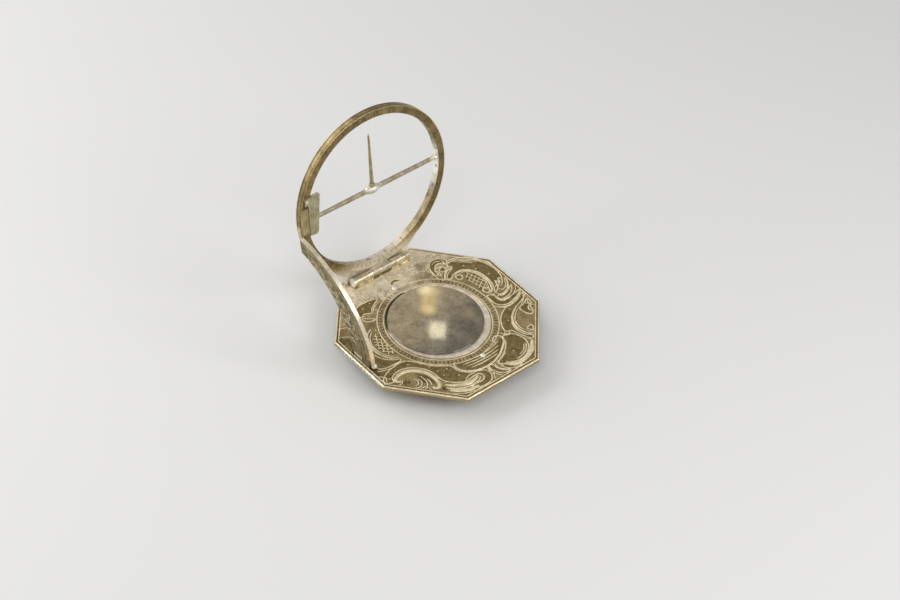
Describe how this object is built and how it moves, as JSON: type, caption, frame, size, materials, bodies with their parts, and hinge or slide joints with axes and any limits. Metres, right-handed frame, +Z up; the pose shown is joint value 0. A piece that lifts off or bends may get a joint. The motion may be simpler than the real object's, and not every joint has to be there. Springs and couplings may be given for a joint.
{
  "type": "equatorial sundial",
  "caption": "Folding pocket sundial: octagonal brass plate with a sunk compass, a hinged hour ring with a turning gnomon, and a hinged latitude arc.",
  "frame": {"origin": "centre of the compass box's underside, where the dial rests", "axes": "+Z up, square to the plate; +Y towards the hour ring's hinge; +X away from the latitude arc's hinge"},
  "size_m": [0.063, 0.0683, 0.0632],
  "materials": {
    "plate_brass": "engraved, dark olive patina",
    "pale_brass": "rubbed bright on the high spots",
    "gilt_brass": "worn fire gilding over brass",
    "arc_brass": "engraved, brown patina with bright edge",
    "bar_brass": "grey-brown, filed smooth",
    "spring_brass": "greenish, hammered spring brass",
    "silvered_bezel": "silvered brass, dulled",
    "silvered_dial": "silvered brass, mottled",
    "compass_glass": "old, slightly clouded",
    "needle_steel": "blued"
  },
  "bodies": {
    "base": {"base_plate": "plate_brass", "compass_box": "plate_brass", "compass_rivets": "pale_brass", "compass_rose": "silvered_dial", "needle_pivot": "pale_brass", "glass_seat": "silvered_bezel", "compass_glass": "compass_glass", "bezel_ring": "silvered_bezel", "ring_hinge_bracket": "pale_brass", "ring_hinge_pin": "pale_brass", "arc_hinge_bracket": "pale_brass", "arc_hinge_pin": "pale_brass"},
    "hour_ring_leaf": {"hour_ring": "gilt_brass", "ring_foot": "gilt_brass", "detent_spring": "spring_brass", "detent_block": "gilt_brass", "spring_rivet": "pale_brass", "latitude_index": "pale_brass", "index_rivet": "pale_brass"},
    "gnomon": {"cross_bar": "bar_brass", "gnomon_pin": "bar_brass"},
    "arc_leaf": {"latitude_arc": "arc_brass"},
    "needle": {"compass_needle": "needle_steel", "needle_cap": "gilt_brass"}
  },
  "joints": [
    {"name": "ring_fold", "type": "hinge", "parent": "base", "child": "hour_ring_leaf", "pos_m": [0, 0.0266, 0.00895], "axis": [1, 0, 0], "range_deg": [0, 98.7]},
    {"name": "gnomon_turn", "type": "hinge", "parent": "hour_ring_leaf", "child": "gnomon", "pos_m": [0, 0.03283, 0.03632], "axis": [1, 0, 0], "range_deg": [-180, 180]},
    {"name": "arc_fold", "type": "hinge", "parent": "base", "child": "arc_leaf", "pos_m": [-0.02755, 0, 0.0083], "axis": [0, 1, 0], "range_deg": [0, 97.7]},
    {"name": "needle_spin", "type": "hinge", "parent": "base", "child": "needle", "pos_m": [0, 0, 0.0043], "axis": [0, 0, 1], "continuous": true}
  ]
}
